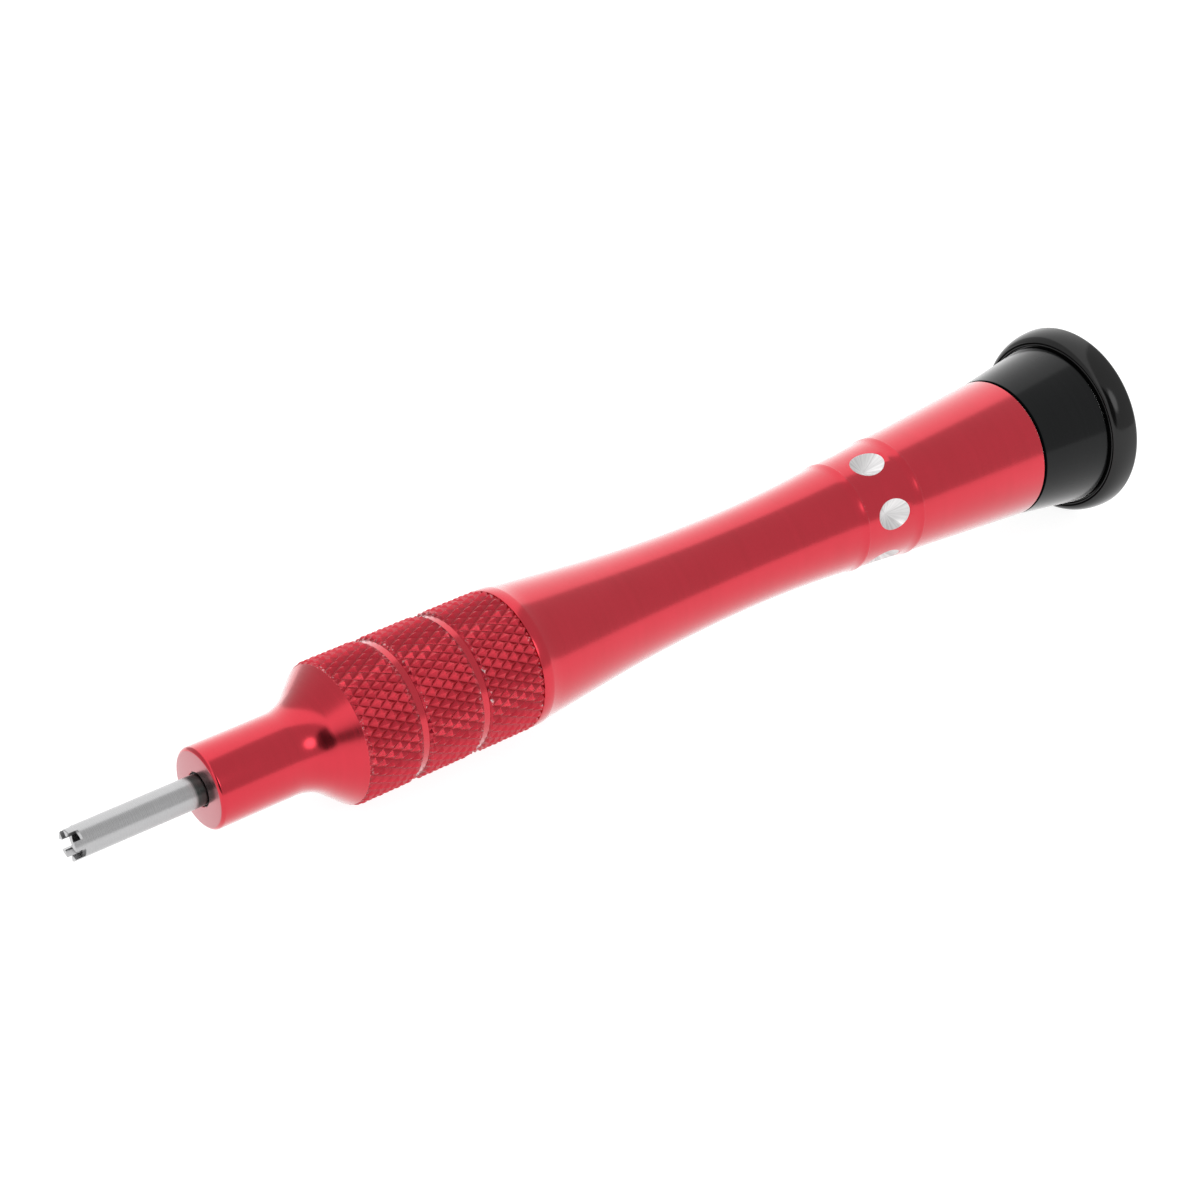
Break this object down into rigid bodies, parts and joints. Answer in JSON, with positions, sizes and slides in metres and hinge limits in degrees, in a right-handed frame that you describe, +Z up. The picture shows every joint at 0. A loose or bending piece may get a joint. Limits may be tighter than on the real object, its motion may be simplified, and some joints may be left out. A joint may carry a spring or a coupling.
{
  "type": "watchmaker screwdriver",
  "caption": "Slim turned screwdriver for watch work: knurled grip, waisted handle with a ring of cone dimples, hollow pronged blade and a flared finger rest that spins on a ball bearing.",
  "frame": {"origin": "middle of the bottom of the tool's box, on the surface that the tool lies on", "axes": "+X from the blade's end to the finger rest, +Z up, with the tool lying on its finger rest and its grip, so that its own axis rises 1.88 degrees towards +X"},
  "size_m": [0.1092, 0.0178, 0.0178],
  "materials": {
    "red_anodised": "red anodised, satin, with bright-cut dimples",
    "blade_steel": "ground and polished steel",
    "black_anodised": "black anodised, satin",
    "gloss_black": "gloss black",
    "bearing_steel": "polished bearing steel",
    "cage_brass": "plain brass"
  },
  "bodies": {
    "handle": {"handle_body": "red_anodised", "driver_blade": "blade_steel", "tail_ferrule": "black_anodised", "bearing_outer_ring": "bearing_steel", "front_shield": "bearing_steel", "rear_shield": "bearing_steel"},
    "finger_rest": {"swivel_cap": "gloss_black", "cap_spindle": "blade_steel", "bearing_inner_ring": "bearing_steel", "spacer_shim": "blade_steel", "retaining_washer": "blade_steel", "retaining_screw": "blade_steel"},
    "ball_train": {"bearing_cage": "cage_brass", "bearing_ball_1": "bearing_steel", "bearing_ball_2": "bearing_steel", "bearing_ball_3": "bearing_steel", "bearing_ball_4": "bearing_steel", "bearing_ball_5": "bearing_steel", "bearing_ball_6": "bearing_steel", "bearing_ball_7": "bearing_steel"}
  },
  "joints": [
    {"name": "cap_spin", "type": "hinge", "parent": "handle", "child": "finger_rest", "pos_m": [0.04951, 0, 0.00877], "axis": [0.9995, 0, 0.0328], "continuous": true},
    {"name": "cage_spin", "type": "hinge", "parent": "handle", "child": "ball_train", "pos_m": [0.04951, 0, 0.00877], "axis": [0.9995, 0, 0.0328], "continuous": true}
  ],
  "couplings": [
    {"joint": "cage_spin", "follows": "cap_spin", "ratio": 0.36667}
  ]
}
